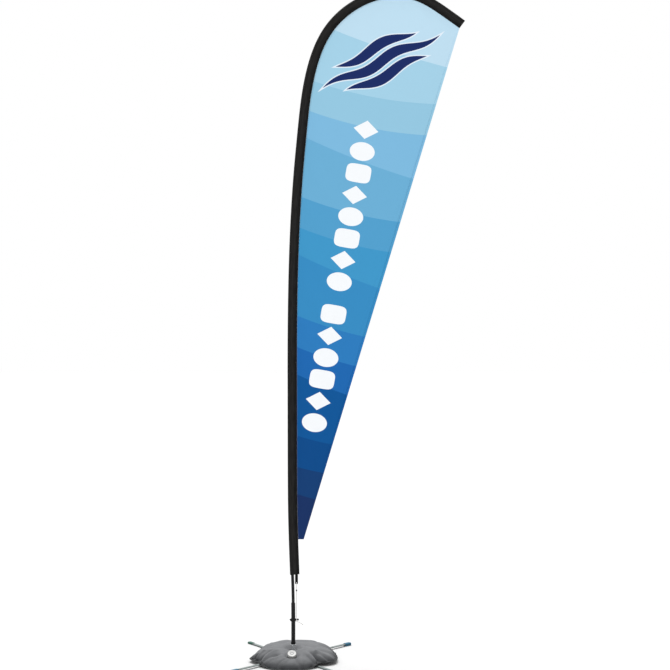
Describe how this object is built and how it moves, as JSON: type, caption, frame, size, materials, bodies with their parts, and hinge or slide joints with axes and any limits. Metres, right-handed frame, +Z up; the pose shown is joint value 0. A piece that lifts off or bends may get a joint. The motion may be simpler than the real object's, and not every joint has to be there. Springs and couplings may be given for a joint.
{
  "type": "teardrop flag",
  "caption": "Free-standing teardrop flag: a sleeve on a bent pole that spins on a folding cross base, weighted by a slack ring water bag.",
  "frame": {"origin": "on the ground, on the spindle's axis: the middle of the pivot boss's flat underside", "axes": "+Z up along the spindle; the flag lies in the XZ plane and flies towards +X; its printed front looks along -Y"},
  "size_m": [1.4292, 0.8118, 4.1585],
  "materials": {
    "steel_bar": "satin",
    "zinc_steel": "satin",
    "chrome": "polished",
    "bearing_steel": "polished",
    "brass": "satin",
    "teal_plastic": "satin",
    "black_plastic": "satin",
    "white_plastic": "satin",
    "seal_rubber": "matte",
    "grey_pvc": "satin",
    "black_composite": "satin",
    "silver_ferrule": "satin",
    "black_satin": "matte",
    "printed_polyester": "matte",
    "hem_tape": "matte",
    "black_webbing": "matte",
    "white_cord": "matte"
  },
  "bodies": {
    "base": {"lower_arm": "steel_bar", "lower_arm_tip_right": "teal_plastic", "lower_arm_tip_left": "teal_plastic", "arm_washer": "brass", "pivot_boss": "zinc_steel", "swivel_housing": "zinc_steel", "lower_bearing_outer_ring": "bearing_steel", "upper_bearing_outer_ring": "bearing_steel", "bearing_spacer_ring": "zinc_steel", "bearing_retaining_ring": "bearing_steel", "water_bag": "grey_pvc", "bag_filler_neck": "grey_pvc"},
    "upper_arm": {"upper_arm": "steel_bar", "upper_arm_tip_right": "teal_plastic", "upper_arm_tip_left": "teal_plastic"},
    "bag_cap": {"bag_cap": "white_plastic", "cap_gasket": "seal_rubber"},
    "spindle": {"spindle": "chrome", "lower_bearing_inner_ring": "bearing_steel", "upper_bearing_inner_ring": "bearing_steel", "lower_bearing_ball_cage": "brass", "upper_bearing_ball_cage": "brass", "inner_spacer_tube": "zinc_steel", "lock_washer": "zinc_steel", "lock_nut": "zinc_steel"},
    "pole_and_flag": {"foot_tube": "black_composite", "foot_collar": "black_plastic", "pole_section_1": "black_composite", "pole_section_2": "black_composite", "pole_section_3": "black_composite", "pole_section_4": "black_composite", "pole_ferrule_1": "silver_ferrule", "pole_ferrule_2": "silver_ferrule", "pole_ferrule_3": "silver_ferrule", "pole_tip_plug": "black_plastic", "pole_sleeve": "black_satin", "flag_panel": "printed_polyester", "free_edge_hem": "hem_tape", "tail_hem": "hem_tape", "webbing_tab": "black_webbing", "tab_eyelet": "brass", "elastic_cord": "white_cord", "cord_stop_knot": "white_cord", "cord_clamp": "black_plastic"},
    "hook_collar": {"hook_collar": "black_plastic", "cord_tail_knot": "white_cord"}
  },
  "joints": [
    {"name": "arm_fold", "type": "hinge", "parent": "base", "child": "upper_arm", "pos_m": [0, 0, 0.0124], "axis": [0, 0, -1], "range_deg": [0, 92]},
    {"name": "cap_turn", "type": "hinge", "parent": "base", "child": "bag_cap", "pos_m": [-0.003, -0.162, 0.064], "axis": [0, -0.5299, 0.848], "range_deg": [0, 540]},
    {"name": "spindle_spin", "type": "hinge", "parent": "base", "child": "spindle", "pos_m": [0, 0, 0.04], "axis": [0, 0, 1], "continuous": true},
    {"name": "pole_lift", "type": "slide", "parent": "spindle", "child": "pole_and_flag", "axis": [0, 0, 1], "range_m": [0, 0.115]},
    {"name": "hook_slide", "type": "slide", "parent": "pole_and_flag", "child": "hook_collar", "axis": [0, 0, 1], "range_m": [-0.025, 0.02], "deforming": ["elastic_cord"]}
  ]
}
